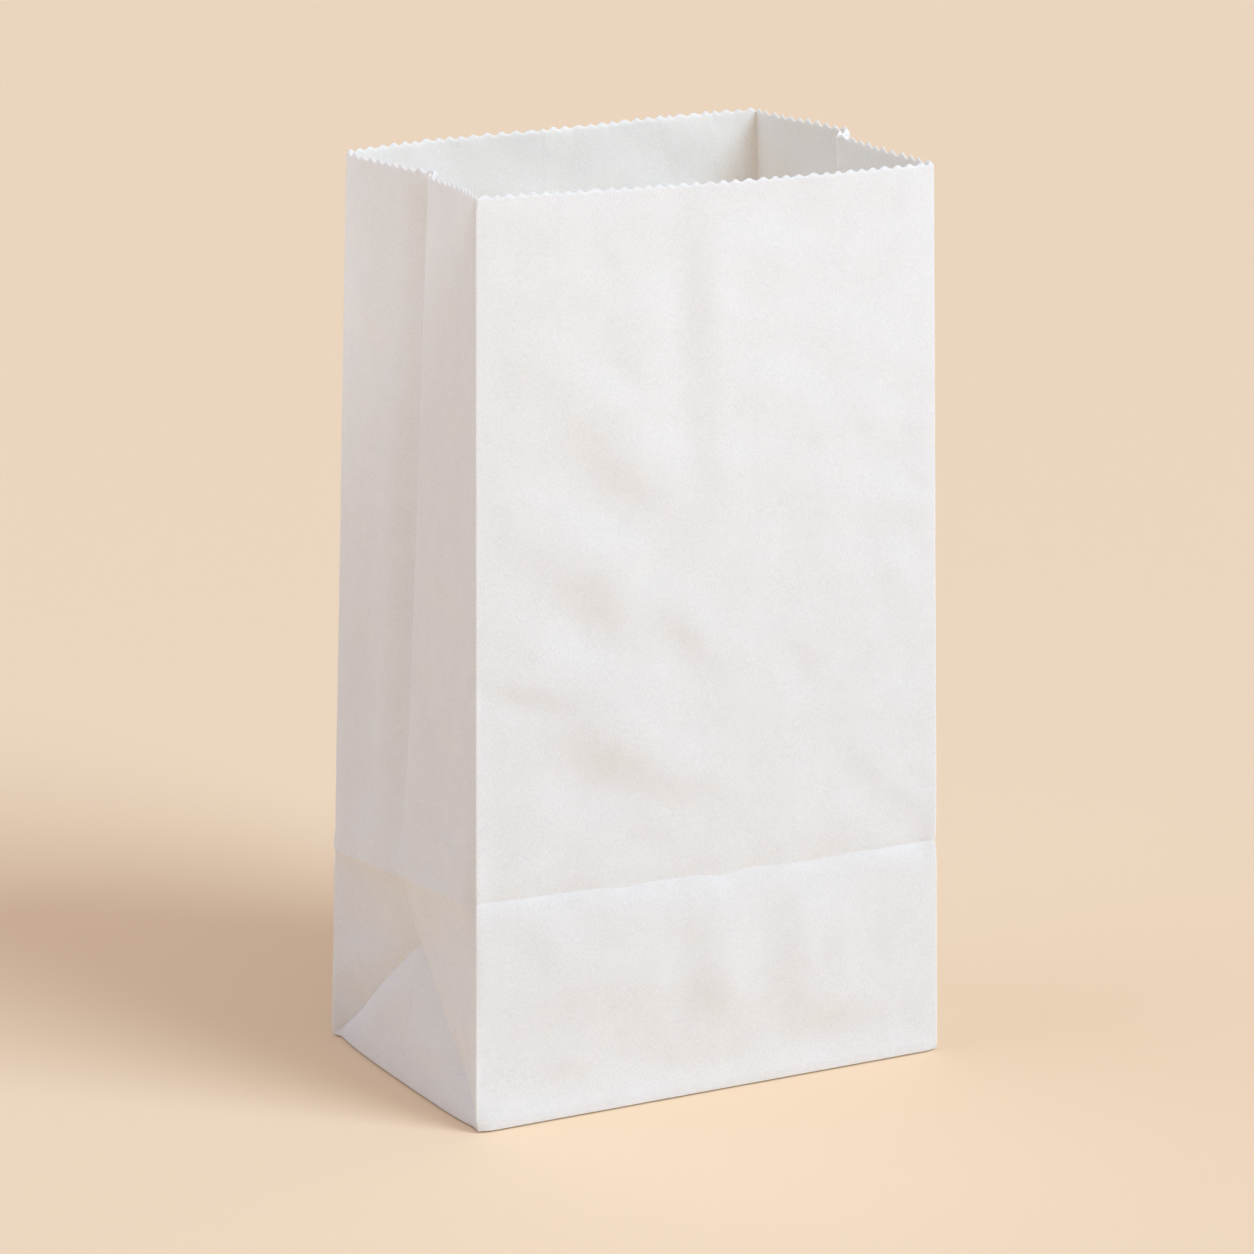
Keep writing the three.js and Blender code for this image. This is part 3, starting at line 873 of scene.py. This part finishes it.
    def write_tooth_attributes(
        self, piece: bpy.types.Object, starts: list[int], first: int, turns: Array, depths: Array
    ) -> None:
        """Stores each fine column's count of teeth and how much the cut moves each outline."""
        turn_values = np.zeros(len(piece.data.vertices), np.float32)
        cut_values = np.zeros(len(piece.data.vertices), np.float32)
        for start, weight in zip(starts[first:], CUT_WEIGHTS):
            turn_values[start : start + len(turns)] = turns
            cut_values[start : start + len(turns)] = weight * depths
        inner_values = np.zeros(len(piece.data.vertices), np.float32)
        inner_values[starts[first + len(CUT_WEIGHTS) // 2] :] = 1.0
        named = ((TOOTH_TURN, turn_values), (CUT_WEIGHT, cut_values), (INNER_FACE, inner_values))
        for name, values in named:
            attribute = piece.data.attributes.new(name, "FLOAT", "POINT")
            attribute.data.foreach_set("value", values)


def fill_column(lower: Sequence[int], upper: Sequence[int], down: bool) -> list[Face]:
    """Fills the cell or cells between two stretches of neighbouring outlines.

    Args:
        lower: Point indices of the first outline's stretch.
        upper: Point indices of the next outline's stretch.
        down: Cuts an even cell from its lower end to its upper start instead.

    Returns:
        The triangles.
    """
    lower_steps, upper_steps = len(lower) - 1, len(upper) - 1
    faces: list[Face] = []
    i = j = 0
    while i < lower_steps or j < upper_steps:
        lower_next = (i + 0.5) * upper_steps
        upper_next = (j + 0.5) * lower_steps
        earlier = lower_next <= upper_next if down else lower_next < upper_next
        if j == upper_steps or (i < lower_steps and earlier):
            faces.append((lower[i], lower[i + 1], upper[j]))
            i += 1
        else:
            faces.append((lower[i], upper[j + 1], upper[j]))
            j += 1
    return faces


def close_rings(rings: Sequence[Ring], down: Array, turning: int) -> tuple[Array, list[Face], list[int]]:
    """Joins outlines into a closed skin, with a fan across each end.

    Args:
        rings: The outlines in order, up the outside and down the inside.
        down: For each column, which way its cells are cut on the outside.
        turning: Index of the first outline of the inside.

    Returns:
        The points, the triangles and the index of each outline's first point.
    """
    starts, total = [], 0
    for ring in rings:
        starts.append(total)
        total += len(ring.points)
    faces: list[Face] = []
    for k in range(len(rings) - 1):
        this, following = rings[k], rings[k + 1]
        for column in range(len(this.marks) - 1):
            lower = [
                starts[k] + index % len(this.points)
                for index in range(this.marks[column], this.marks[column + 1] + 1)
            ]
            upper = [
                starts[k + 1] + index % len(following.points)
                for index in range(following.marks[column], following.marks[column + 1] + 1)
            ]
            faces.extend(fill_column(lower, upper, bool(down[column]) != (k >= turning)))
    points = [ring.points for ring in rings]
    for ring, start, faces_down in ((rings[0], starts[0], True), (rings[-1], starts[-1], False)):
        count = len(ring.points)
        points.append(ring.points.mean(axis=0)[None])
        for index in range(count):
            here, following_point = start + index, start + (index + 1) % count
            pair = (following_point, here) if faces_down else (here, following_point)
            faces.append((total, *pair))
        total += 1
    return np.concatenate(points), faces, starts


# ---- Node trees ------------------------------------------------------------------------


def add_node(
    tree: bpy.types.NodeTree,
    kind: str,
    settings: dict[str, Any] | None = None,
    inputs: dict[str | int, Any] | None = None,
) -> bpy.types.Node:
    """Adds a node, sets its properties and fills or links its inputs.

    Args:
        tree: The node tree.
        kind: The node's type name.
        settings: Properties of the node.
        inputs: Values of inputs, or the output sockets that feed them.

    Returns:
        The new node.
    """
    node = tree.nodes.new(kind)
    for name, value in (settings or {}).items():
        setattr(node, name, value)
    for name, value in (inputs or {}).items():
        if isinstance(value, bpy.types.NodeSocket):
            tree.links.new(value, node.inputs[name])
        else:
            node.inputs[name].default_value = value
    return node


@dataclass
class PinkingCutter:
    """Cuts the mouth in small waves, no two quite alike."""

    depth: float = 1.25
    irregularity: float = 0.2
    seed: int = 11

    def tree(self) -> bpy.types.NodeTree:
        """Builds the geometry node tree.

        Returns:
            The tree, with its sizes as named inputs.
        """
        tree = bpy.data.node_groups.new("pinked_mouth", "GeometryNodeTree")
        tree.interface.new_socket("Geometry", in_out="INPUT", socket_type="NodeSocketGeometry")
        for name in ("Tooth depth", "Irregularity"):
            tree.interface.new_socket(name, in_out="INPUT", socket_type="NodeSocketFloat")
        tree.interface.new_socket("Seed", in_out="INPUT", socket_type="NodeSocketInt")
        tree.interface.new_socket("Paper", in_out="INPUT", socket_type="NodeSocketMaterial")
        tree.interface.new_socket("Geometry", in_out="OUTPUT", socket_type="NodeSocketGeometry")
        source = add_node(tree, "NodeGroupInput")
        turn = self.attribute(tree, TOOTH_TURN)
        weight = self.attribute(tree, CUT_WEIGHT)
        tooth = self.maths(tree, "FLOOR", turn)
        least = self.maths(tree, "SUBTRACT", 1.0, source.outputs["Irregularity"])
        most = self.maths(tree, "ADD", 1.0, source.outputs["Irregularity"])
        size = add_node(
            tree,
            "FunctionNodeRandomValue",
            {"data_type": "FLOAT"},
            {"ID": tooth, "Seed": source.outputs["Seed"]},
        )
        tree.links.new(least, size.inputs[2])
        tree.links.new(most, size.inputs[3])
        wave = self.maths(tree, "COSINE", self.maths(tree, "MULTIPLY", turn, 2 * math.pi))
        rounded = self.maths(tree, "MULTIPLY_ADD", wave, -0.5, 0.5)
        notch = self.maths(tree, "SUBTRACT", self.maths(tree, "MULTIPLY", rounded, size.outputs[1]), 1.0)
        cut = self.maths(tree, "MULTIPLY", notch, source.outputs["Tooth depth"])
        drop = self.maths(tree, "MULTIPLY", cut, weight)
        offset = add_node(tree, "ShaderNodeCombineXYZ", None, {"Z": drop})
        moved = add_node(
            tree,
            "GeometryNodeSetPosition",
            None,
            {"Geometry": source.outputs["Geometry"], "Offset": offset.outputs[0]},
        )
        real = add_node(tree, "GeometryNodeRealizeInstances", None, {"Geometry": moved.outputs[0]})
        dressed = add_node(
            tree,
            "GeometryNodeSetMaterial",
            None,
            {"Geometry": real.outputs[0], "Material": source.outputs["Paper"]},
        )
        add_node(tree, "NodeGroupOutput", None, {"Geometry": dressed.outputs[0]})
        return tree

    @staticmethod
    def attribute(tree: bpy.types.NodeTree, name: str) -> bpy.types.NodeSocket:
        """Returns the socket of a named number stored on the points."""
        node = add_node(tree, "GeometryNodeInputNamedAttribute", {"data_type": "FLOAT"}, {"Name": name})
        return node.outputs["Attribute"]

    @staticmethod
    def maths(tree: bpy.types.NodeTree, operation: str, *values: Any) -> bpy.types.NodeSocket:
        """Returns the result socket of a sum of the given values or sockets."""
        inputs = dict(enumerate(values))
        return add_node(tree, "ShaderNodeMath", {"operation": operation}, inputs).outputs[0]

    def cut(self, piece: bpy.types.Object, paper: bpy.types.Material) -> bpy.types.Object:
        """Cuts the teeth into a sheet and turns the result into a plain mesh.

        Args:
            piece: The sheet, which is replaced.
            paper: The sheet's material.

        Returns:
            The cut sheet.
        """
        modifier = piece.modifiers.new("pinked_mouth", "NODES")
        modifier.node_group = self.tree()
        values = {
            "Tooth depth": self.depth * MM,
            "Irregularity": self.irregularity,
            "Seed": self.seed,
            "Paper": paper,
        }
        for item in modifier.node_group.interface.items_tree:
            if item.in_out == "INPUT" and item.name in values:
                modifier[item.identifier] = values[item.name]
        bpy.context.view_layer.update()
        evaluated = piece.evaluated_get(bpy.context.evaluated_depsgraph_get())
        mesh = bpy.data.meshes.new_from_object(evaluated)
        piece.modifiers.remove(modifier)
        piece.data = mesh
        for name in (TOOTH_TURN, CUT_WEIGHT):
            if name in mesh.attributes:
                mesh.attributes.remove(mesh.attributes[name])
        return piece


# ---- The folded bottom -----------------------------------------------------------------


@dataclass
class FoldedBottom:
    """The flaps of the bottom: two long ones that lap in the middle, two side triangles."""

    form: BagForm
    overlap: float = 10.0
    margin: float = 1.6  # keeps the flaps inside the tucked front corner
    inner_margin: float = 1.3
    tooth_pitch: float = 4.0
    tooth_depth: float = 1.1
    side_flap_reach: float = 1.0  # how far its tip goes past a square corner's fold

    def long_flap(self, side: float, margin: float) -> list[tuple[float, float]]:
        """Outlines a flap from a long edge, past the middle, to its pinked free edge."""
        s = self.form.sizes
        outer_x, outer_y = s.width / 2 - margin, s.depth / 2 - margin
        reach = outer_y + self.overlap
        tip = outer_x - reach
        corners = [(-outer_x, -outer_y), (outer_x, -outer_y)]
        teeth = max(3, round(2 * tip / self.tooth_pitch))
        for half in range(2 * teeth + 1):
            x = tip - half * tip / teeth
            notch = self.tooth_depth * (half % 2)
            corners.append((x, self.overlap - notch))
        return [(x * side, y * side) for x, y in corners]

    def side_flap(self, side: float) -> list[tuple[float, float]]:
        """Outlines the triangle that a side folds in to, inside the bag."""
        s = self.form.sizes
        outer_x, outer_y = s.width / 2 - self.inner_margin, s.depth / 2 - self.inner_margin
        return [
            (side * outer_x, -side * outer_y),
            (side * outer_x, side * outer_y),
            (side * (outer_x - outer_y - self.side_flap_reach), 0.0),
        ]

    @staticmethod
    def plate(
        name: str, corners: Sequence[tuple[float, float]], low: float, high: float
    ) -> bpy.types.Object:
        """Makes a thin closed plate from an outline."""
        count = len(corners)
        points = [(x, y, low) for x, y in corners] + [(x, y, high) for x, y in corners]
        faces: list[Sequence[int]] = [tuple(range(count))[::-1], tuple(range(count, 2 * count))]
        for index in range(count):
            following = (index + 1) % count
            faces.append((index, following, following + count, index + count))
        piece = mesh_object(name, np.array(points), faces)
        piece.data.shade_flat()
        return piece

    def build(self) -> list[bpy.types.Object]:
        """Builds the flaps from the outermost up to the triangles inside."""
        ply = self.form.sizes.flap_ply
        floor = 2 * ply + self.form.sizes.paper
        return [
            self.plate("front_bottom_flap", self.long_flap(1, self.margin), 0.0, ply),
            self.plate("back_bottom_flap", self.long_flap(-1, self.margin), ply, 2 * ply),
            self.plate("inner_bottom_flap", self.long_flap(-1, self.inner_margin), floor, floor + ply),
            self.plate("left_side_flap", self.side_flap(-1), floor + ply, floor + 2 * ply),
            self.plate("right_side_flap", self.side_flap(1), floor + ply, floor + 2 * ply),
        ]


# ---- Finishes --------------------------------------------------------------------------


@dataclass(frozen=True)
class WhiteKraftPaper:
    """Bleached kraft paper, machine made and uncoated.

    To the eye it is a soft matt white, faintly cloudy where the pulp lies thicker or thinner,
    with a felted grain of short fibres and no shine but a dull one at a low angle.
    """

    name: str = "bleached_kraft_paper"
    thick_pulp: str = "fcfbfa"
    thin_pulp: str = "f0efee"
    inner_painted_warm_thick: str = "fff8ef"  # painted warm light: the inner face is coloured creamier to stand in for the warmer light inside the bag
    inner_painted_warm_thin: str = "f6eee5"
    cloud_mm: float = 11.0  # patches of thicker and thinner pulp
    grain_mm: float = 0.6  # felted fibres
    cloud_share: float = 0.3
    pulp_range: tuple[float, float] = (0.3, 0.7)  # of the pattern, from thin pulp to thick
    felt_mm: float = 0.07  # how far the grain stands up
    roughness: float = 0.86
    ior: float = 1.5
    shine: float = 0.3
    red_to_blue_reach: tuple[float, float, float] = (1.0, 0.94, 0.87)
    scatter_mm: float = 0.8  # light wanders this far in the pulp, so it glows through one ply

    def material(self) -> bpy.types.Material:
        """Builds the node material.

        Returns:
            The material.
        """
        paper = bpy.data.materials.new(self.name)
        paper.use_nodes = True
        tree = paper.node_tree
        tree.nodes.clear()
        place = add_node(tree, "ShaderNodeTexCoord").outputs["Object"]
        clouds = self.noise(tree, place, self.cloud_mm, 1.0)
        grain = self.noise(tree, place, self.grain_mm, 1.0)
        pulp = add_node(
            tree, "ShaderNodeMix", {"data_type": "FLOAT"}, {0: self.cloud_share, 2: grain, 3: clouds}
        ).outputs[0]
        outside = self.blend(tree, pulp, self.thin_pulp, self.thick_pulp)
        # The inner face takes creamier colours, painted warm light of the bag's inside rather than a colour
        # of the paper.
        inside = self.blend(tree, pulp, self.inner_painted_warm_thin, self.inner_painted_warm_thick)
        face = add_node(tree, "ShaderNodeAttribute", {"attribute_name": INNER_FACE}).outputs["Fac"]
        colour = add_node(tree, "ShaderNodeMix", {"data_type": "RGBA"}, {0: face, 6: outside, 7: inside})
        felt = add_node(
            tree, "ShaderNodeBump", None, {"Height": grain, "Strength": 1.0, "Distance": self.felt_mm * MM}
        )
        shader = add_node(
            tree,
            "ShaderNodeBsdfPrincipled",
            None,
            {
                "Base Color": colour.outputs[2],
                "Roughness": self.roughness,
                "IOR": self.ior,
                "Specular IOR Level": self.shine,
                "Subsurface Weight": 1.0,
                "Subsurface Radius": self.red_to_blue_reach,
                "Subsurface Scale": self.scatter_mm * MM,
                "Normal": felt.outputs[0],
            },
        )
        add_node(tree, "ShaderNodeOutputMaterial", None, {"Surface": shader.outputs[0]})
        return paper

    @staticmethod
    def noise(
        tree: bpy.types.NodeTree, place: bpy.types.NodeSocket, size_mm: float, detail: float
    ) -> bpy.types.NodeSocket:
        """Returns a noise pattern whose patches are about size_mm across."""
        inputs = {"Vector": place, "Scale": 1000.0 / size_mm, "Detail": detail, "Roughness": 0.6}
        return add_node(tree, "ShaderNodeTexNoise", None, inputs).outputs["Fac"]

    def blend(
        self, tree: bpy.types.NodeTree, pulp: bpy.types.NodeSocket, thin: str, thick: str
    ) -> bpy.types.NodeSocket:
        """Returns the colour of the pulp, from thin to thick."""
        ramp = add_node(tree, "ShaderNodeValToRGB", None, {"Fac": pulp})
        for stop, position, code in zip(ramp.color_ramp.elements, self.pulp_range, (thin, thick)):
            stop.position = position
            stop.color = linear_colour(code)
        return ramp.outputs["Color"]


@dataclass(frozen=True)
class PaleCard:
    """Plain matt beige card, rolled out as the studio floor."""

    name: str = "pale_floor_card"
    colour: str = "e7cfb2"
    roughness: float = 0.9
    shine: float = 0.2

    def material(self) -> bpy.types.Material:
        """Builds the node material."""
        card = bpy.data.materials.new(self.name)
        card.use_nodes = True
        shader = card.node_tree.nodes["Principled BSDF"]
        shader.inputs["Base Color"].default_value = linear_colour(self.colour)
        shader.inputs["Roughness"].default_value = self.roughness
        shader.inputs["Specular IOR Level"].default_value = self.shine
        return card


# ---- The studio ------------------------------------------------------------------------


@dataclass(frozen=True)
class SoftLamp:
    """A wide, far lamp, whose light falls evenly and casts soft shadows."""

    name: str
    azimuth: float  # degrees to the right of the bag's front
    elevation: float
    spread: float  # degrees across, seen from the bag
    colour: str
    strength: float  # what white card facing it sends back

    def hang(self) -> None:
        """Adds the lamp to the scene."""
        towards = direction(self.azimuth, self.elevation)
        data = bpy.data.lights.new(self.name, "SUN")
        data.angle = math.radians(self.spread)
        data.color = linear_colour(self.colour)[:3]
        data.energy = self.strength * math.pi
        lamp = bpy.data.objects.new(self.name, data)
        lamp.rotation_euler = towards.to_track_quat("Z", "Y").to_euler()
        bpy.context.scene.collection.objects.link(lamp)


KEY_LAMP = SoftLamp("key_lamp", 31.0, 39.0, 32.0, "d5eaff", 0.797)
TOP_LAMP = SoftLamp("top_lamp", 0.0, 80.0, 60.0, "ffe7da", 0.275)
LEFT_FILL = SoftLamp("left_fill", -115.0, 42.0, 60.0, "b2ceff", 0.24)
BACK_FILL = SoftLamp("back_fill", 165.0, 20.0, 80.0, "e8f0ff", 0.04)


@dataclass
class Studio:
    """Floor, soft lights and the camera."""

    offset_y: float
    azimuth: float = -28.049  # the camera's, in degrees right of the bag's front
    elevation: float = 15.174
    distance: float = 1614.174  # from the aim point on the bag's axis
    aim_height: float = 140.0
    focal_pixels: float = 5571.778
    slide: tuple[float, float] = (-1.869, -12.065)  # sideways and up, off the aim point
    sensor: float = 36.0
    far_clip: float = 100.0  # metres
    floor_side: float = 14000.0
    floor_level: float = -0.02
    sky_colour: str = "fff5e4"
    sky_strength: float = 0.362

    def camera(self) -> None:
        """Places the camera at the picture's angle."""
        back = direction(self.azimuth, self.elevation)
        right = Vector((0, 0, 1)).cross(back).normalized()
        up = back.cross(right)
        aim = Vector((0.0, self.offset_y, self.aim_height))
        place = aim + back * self.distance + right * self.slide[0] + up * self.slide[1]
        data = bpy.data.cameras.new("camera")
        data.sensor_width = self.sensor
        data.lens = self.sensor * self.focal_pixels / IMAGE_SIDE
        data.clip_end = self.far_clip
        camera = bpy.data.objects.new("camera", data)
        rotation = Matrix((right, up, back)).transposed().to_4x4()
        camera.matrix_world = Matrix.Translation(place * MM) @ rotation
        bpy.context.scene.collection.objects.link(camera)
        bpy.context.scene.camera = camera

    def floor(self) -> None:
        """Lays the floor card, just clear of the bag's foot."""
        half, level = self.floor_side / 2, self.floor_level
        corners = [(-half, -half, level), (half, -half, level), (half, half, level), (-half, half, level)]
        card = mesh_object("floor", np.array(corners), [(0, 1, 2, 3)])
        card.data.materials.append(PaleCard().material())

    def lights(self) -> None:
        """Hangs the soft lamps and sets the even light of the room."""
        for lamp in (KEY_LAMP, TOP_LAMP, LEFT_FILL, BACK_FILL):
            lamp.hang()
        world = bpy.data.worlds.new("studio")
        world.use_nodes = True
        background = world.node_tree.nodes["Background"]
        background.inputs["Color"].default_value = linear_colour(self.sky_colour)
        background.inputs["Strength"].default_value = self.sky_strength
        bpy.context.scene.world = world

    def build(self) -> None:
        """Sets up the whole studio, with plain display colours."""
        self.camera()
        self.floor()
        self.lights()
        bpy.context.scene.view_settings.view_transform = "Standard"
        LOG.info("studio: camera, floor and lights")


# ---- The bag ---------------------------------------------------------------------------


@dataclass
class PaperBag:
    """The whole bag: its sheet, its bottom flaps and their finish."""

    form: BagForm = field(default_factory=BagForm)

    def offset(self) -> tuple[float, float]:
        """Returns how far the form moves in plan to lie where the fixed solid is."""
        low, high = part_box(NODE)
        s = self.form.sizes
        mouth = []
        for panel in self.form.panels:
            share = np.linspace(0.0, 1.0, MOUTH_SAMPLES)
            mouth.append(self.form.smooth(panel, share, np.full(MOUTH_SAMPLES, s.height))[0])
        plan = np.concatenate(mouth)
        middle_y = (min(plan[:, 1].min(), -s.depth / 2) + max(plan[:, 1].max(), s.depth / 2)) / 2
        return (low.x + high.x) / 2 / MM, (low.y + high.y) / 2 / MM - middle_y

    def build(self) -> float:
        """Builds and dresses every piece.

        Returns:
            The form's offset along Y.
        """
        paper = WhiteKraftPaper().material()
        sheet = PinkingCutter().cut(PaperSheet(self.form).build(), paper)
        pieces = [sheet, *FoldedBottom(self.form).build()]
        offset_x, offset_y = self.offset()
        for piece in pieces:
            if not piece.data.materials:
                piece.data.materials.append(paper)
            piece.data.transform(Matrix.Translation((offset_x * MM, offset_y * MM, 0.0)))
            piece.data.update()
            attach(piece, BODY)
            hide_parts(NODE)
            LOG.info("%s: %d faces", piece.name, len(piece.data.polygons))
        return offset_y


def main() -> None:
    """Builds the bag and the studio round the fixed frame."""
    logging.basicConfig(level=logging.INFO, format="%(name)s: %(message)s")
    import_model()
    offset_y = PaperBag().build()
    Studio(offset_y=offset_y).build()


if __name__ == "__main__":
    main()
